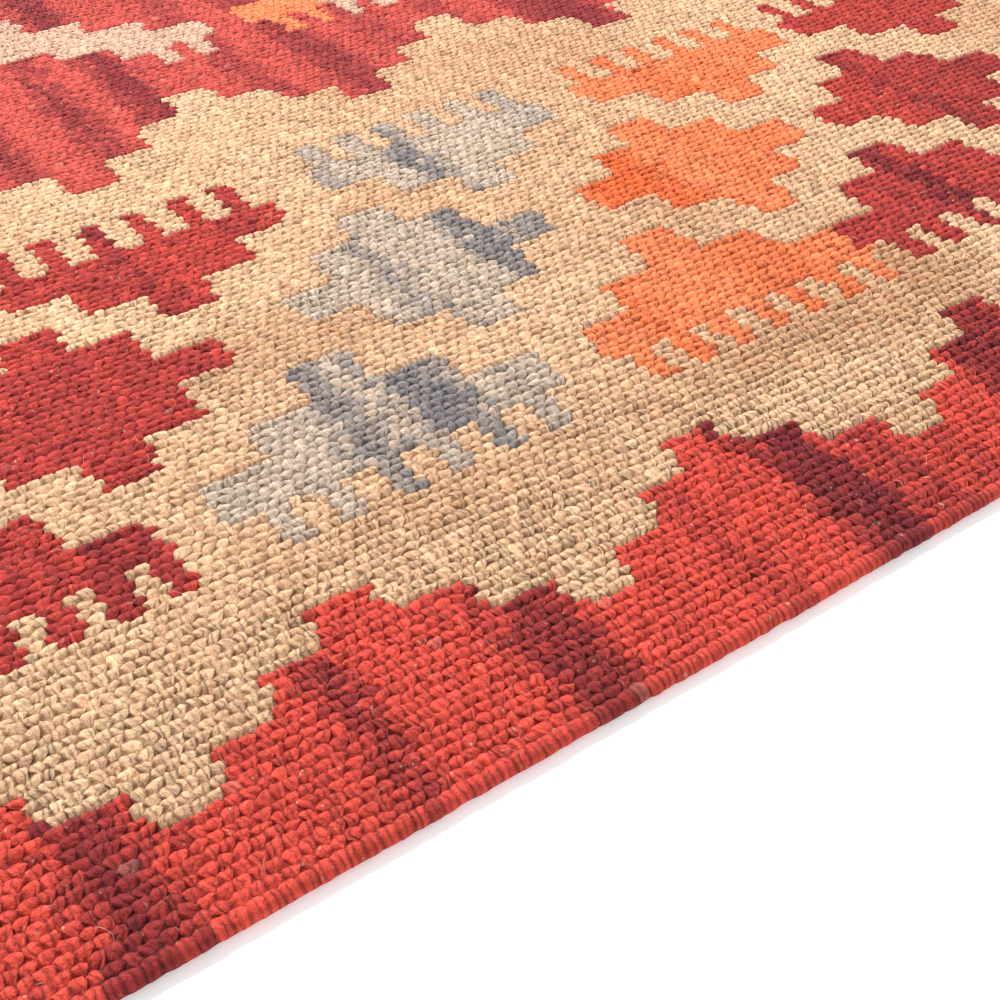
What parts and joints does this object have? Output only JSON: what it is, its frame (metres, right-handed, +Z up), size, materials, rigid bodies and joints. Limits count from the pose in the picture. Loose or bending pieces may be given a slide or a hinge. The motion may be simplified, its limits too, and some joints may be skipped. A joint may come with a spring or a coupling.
{
  "type": "kilim rug",
  "caption": "Flat-woven wool kilim rug lying flat: stepped red border, sand ground with comb and lozenge motifs in red, grey and orange, plain selvedges and ends.",
  "frame": {"origin": "middle of the underside, on the surface that the rug rests on", "axes": "+X along the warps, the rug's length; +Y along the wefts, from the bordered selvedge to the plain one; +Z up"},
  "size_m": [0.9, 0.6, 0.0046],
  "materials": {
    "kilim_wool": "hand-spun wool, weft-faced slit-tapestry weave, matt"
  },
  "bodies": {
    "root": {"kilim_cloth": "kilim_wool"}
  },
  "joints": []
}
